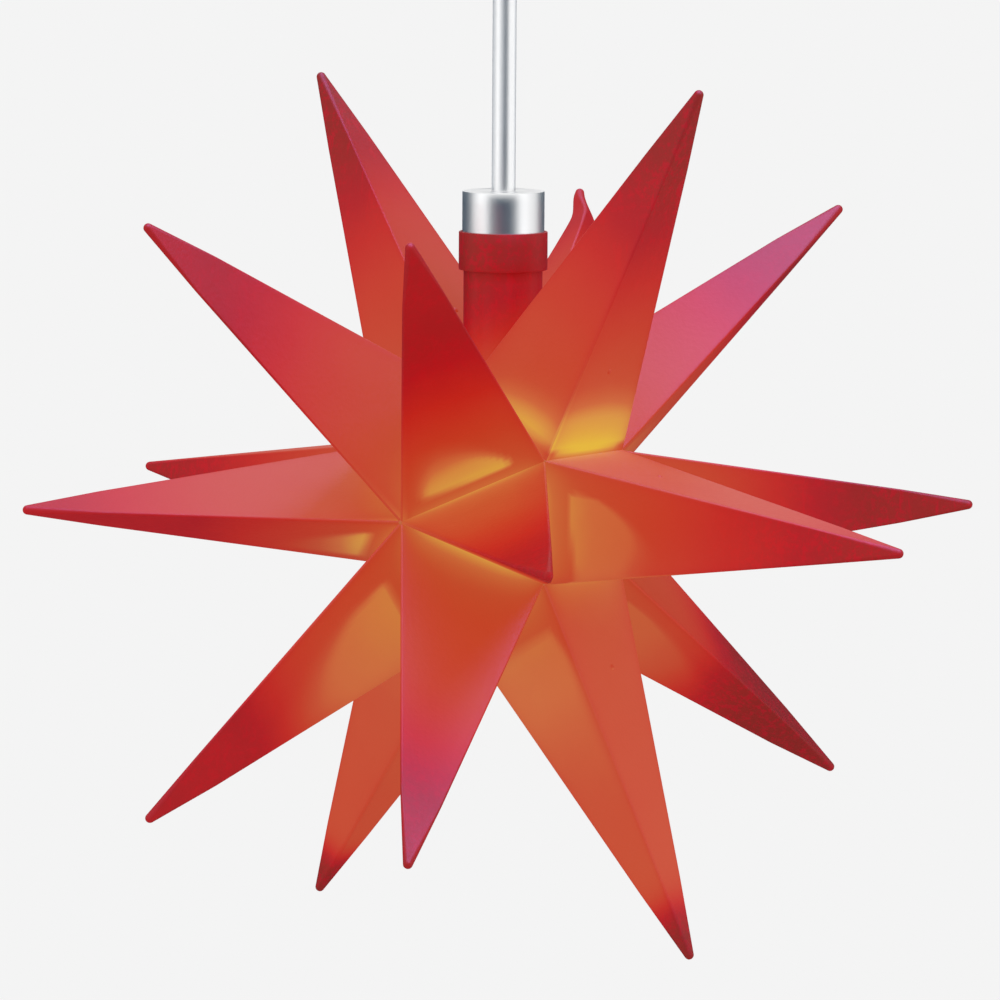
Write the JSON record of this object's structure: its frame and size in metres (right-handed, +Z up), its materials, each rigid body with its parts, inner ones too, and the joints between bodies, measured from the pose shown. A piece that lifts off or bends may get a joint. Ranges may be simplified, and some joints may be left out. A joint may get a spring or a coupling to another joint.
{
  "type": "led star light",
  "caption": "Pendant star light: translucent red hollow spikes on a hidden core, lit inside by a plug-in lamp, with a neck, silver cap and metal stem hung from a ceiling cup.",
  "frame": {"origin": "on the ceiling plane, at the middle of the ceiling bracket's upper face, above the star's centre", "axes": "+Z up, +X to the right and -Y towards the viewer of the star's front pole"},
  "size_m": [0.25, 0.1726, 0.2704],
  "materials": {
    "star_plastic": "frosted translucent red moulded plastic, lit from inside",
    "core_plastic": "translucent red moulded plastic",
    "cap_metal": "satin turned aluminium",
    "stem_metal": "polished metal tube",
    "canopy_metal": "satin spun aluminium",
    "zinc_steel": "zinc-plated steel",
    "ring_rubber": "black rubber",
    "holder_plastic": "white heat-proof plastic",
    "contact_brass": "bare brass",
    "wire_insulation": "white wire insulation",
    "lamp_plastic": "white plastic",
    "board_white": "white solder mask",
    "light_chip": "yellow phosphor under clear resin",
    "frosted_dome": "frosted warm white cover, lit"
  },
  "bodies": {
    "ceiling_fitting": {"canopy": "canopy_metal", "ceiling_bracket": "zinc_steel", "canopy_screws": "zinc_steel", "pivot_pin": "zinc_steel", "pivot_clip": "zinc_steel"},
    "pendant": {"stem_head": "zinc_steel", "hanger_stem": "stem_metal", "cap": "cap_metal", "stem_nut": "zinc_steel", "lampholder": "holder_plastic", "lampholder_contacts": "contact_brass", "supply_wires": "wire_insulation", "wire_ferrules": "zinc_steel"},
    "turn_ring": {"cap_ring": "ring_rubber"},
    "star": {"neck": "star_plastic", "core_front_half": "core_plastic", "core_back_half": "core_plastic", "core_dowels": "core_plastic", "rim_spike_3_oclock": "star_plastic", "rim_spike_1_oclock": "star_plastic", "rim_spike_11_oclock": "star_plastic", "rim_spike_9_oclock": "star_plastic", "rim_spike_7_oclock": "star_plastic", "rim_spike_5_oclock": "star_plastic", "front_spike_3_oclock": "star_plastic", "front_spike_1_oclock": "star_plastic", "front_spike_11_oclock": "star_plastic", "front_spike_9_oclock": "star_plastic", "front_spike_7_oclock": "star_plastic", "front_spike_5_oclock": "star_plastic", "back_spike_3_oclock": "star_plastic", "back_spike_1_oclock": "star_plastic", "back_spike_11_oclock": "star_plastic", "back_spike_9_oclock": "star_plastic", "back_spike_7_oclock": "star_plastic", "back_spike_5_oclock": "star_plastic"},
    "lamp": {"lamp_base": "lamp_plastic", "lamp_pins": "zinc_steel", "led_board": "board_white", "led_chips": "light_chip", "lamp_dome": "frosted_dome"}
  },
  "joints": [
    {"name": "stem_swing", "type": "hinge", "parent": "ceiling_fitting", "child": "pendant", "pos_m": [0, 0, -0.009], "axis": [1, 0, 0], "range_deg": [-12, 12]},
    {"name": "star_turn", "type": "hinge", "parent": "pendant", "child": "turn_ring", "pos_m": [0, 0, -0.09705], "axis": [0, 0, 1], "continuous": true},
    {"name": "star_release", "type": "slide", "parent": "turn_ring", "child": "star", "axis": [0, 0, -1], "range_m": [0, 0.08]},
    {"name": "lamp_pull", "type": "slide", "parent": "pendant", "child": "lamp", "axis": [0, 0, -1], "range_m": [0, 0.01]}
  ]
}
